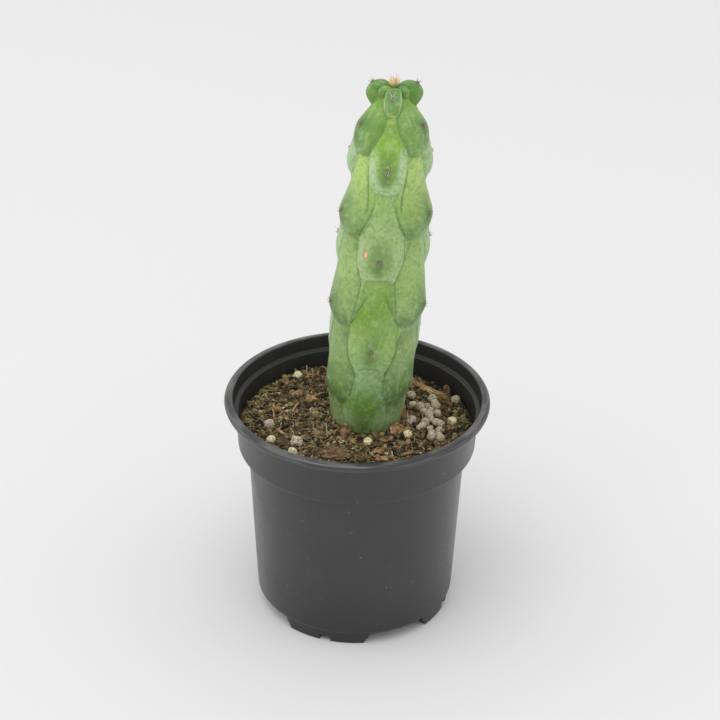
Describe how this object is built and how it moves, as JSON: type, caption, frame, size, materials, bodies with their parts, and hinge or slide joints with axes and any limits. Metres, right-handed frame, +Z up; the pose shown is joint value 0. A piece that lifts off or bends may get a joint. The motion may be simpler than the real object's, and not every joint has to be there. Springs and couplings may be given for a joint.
{
  "type": "potted column cactus",
  "caption": "Ribbed column cactus with breast-shaped tubercles, growing in a round plastic nursery pot of coir soil with loose prills, perlite and bark on top.",
  "frame": {"origin": "middle of the pot's footprint, on the surface that it stands on", "axes": "+Z up along the pot's axis, -Y the front, +X to the right seen from the front"},
  "size_m": [0.11, 0.11, 0.238],
  "materials": {
    "pot_plastic": "satin charcoal polypropylene with fine moulding lines",
    "potting_soil": "dark damp coir and bark mix, fibrous",
    "cactus_skin": "smooth waxy skin, mid green with a pale bloom",
    "prill": "matt coated fertiliser prills, warm grey",
    "perlite": "rough white to cream expanded grain",
    "pumice": "rough warm grey grain",
    "bark": "rough brown bark",
    "coir": "dry golden fibre"
  },
  "bodies": {
    "root": {"pot": "pot_plastic", "soil": "potting_soil", "stem": "cactus_skin", "prill_heap": "prill", "prill_1": "prill", "prill_2": "prill", "perlite_1": "perlite", "perlite_2": "perlite", "perlite_3": "perlite", "perlite_4": "perlite", "perlite_5": "perlite", "perlite_6": "perlite", "perlite_7": "perlite", "pumice_1": "pumice", "pumice_2": "pumice", "pumice_3": "pumice", "bark_1": "bark", "bark_2": "bark", "bark_3": "bark", "bark_4": "bark", "bark_5": "bark", "bark_6": "bark", "bark_7": "bark", "bark_8": "bark", "bark_9": "bark", "coir_shred": "coir"}
  },
  "joints": []
}
